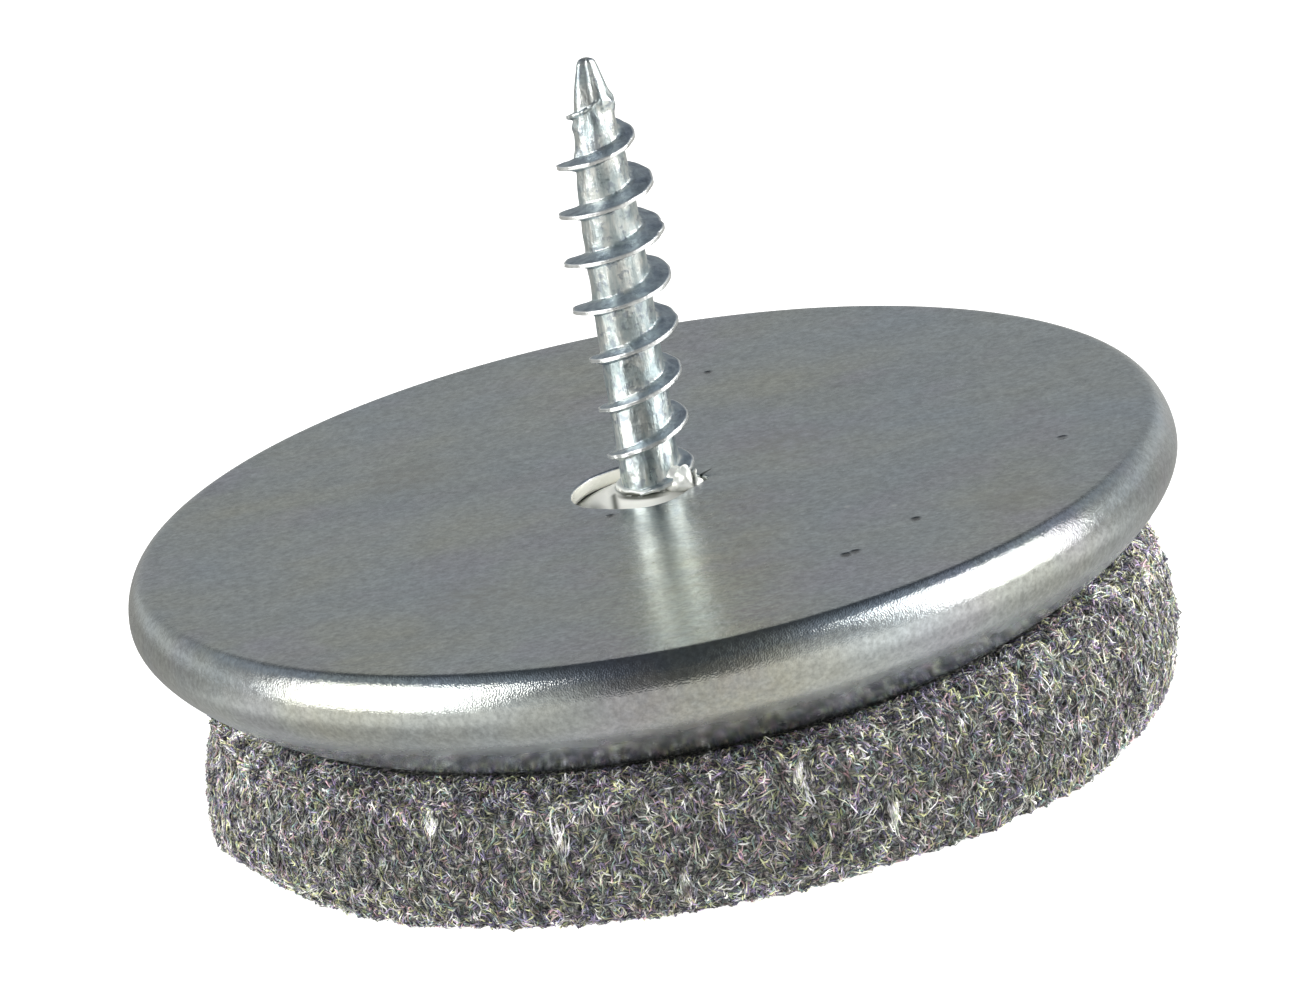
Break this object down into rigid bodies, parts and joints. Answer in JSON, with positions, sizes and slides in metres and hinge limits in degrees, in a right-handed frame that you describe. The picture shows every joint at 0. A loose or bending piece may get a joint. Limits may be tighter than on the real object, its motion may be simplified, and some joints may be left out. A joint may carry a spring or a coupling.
{
  "type": "screw-in felt glide",
  "caption": "Furniture glide: a pressed steel cup with its rim curled round a thick felt pad, and a wood screw that turns into the end of a chair or table leg.",
  "frame": {"origin": "middle of the felt's flat face, which rests on the floor", "axes": "+Z along the cup's axis, from the felt towards the screw's tip; +X is the side that the screw leans to, by 1.8 degrees"},
  "size_m": [0.04, 0.04, 0.0274],
  "materials": {
    "zinc_plated_cup": "satin grey zinc plating with faint rolling lines, cloudy stains and small pits",
    "zinc_plated_screw": "bright blue-white zinc plating",
    "grey_wool_felt": "coarse pressed wool felt, light and dark grey fibres mixed"
  },
  "bodies": {
    "root": {"steel_cup": "zinc_plated_cup", "wood_screw": "zinc_plated_screw", "felt_pad": "grey_wool_felt"}
  },
  "joints": []
}
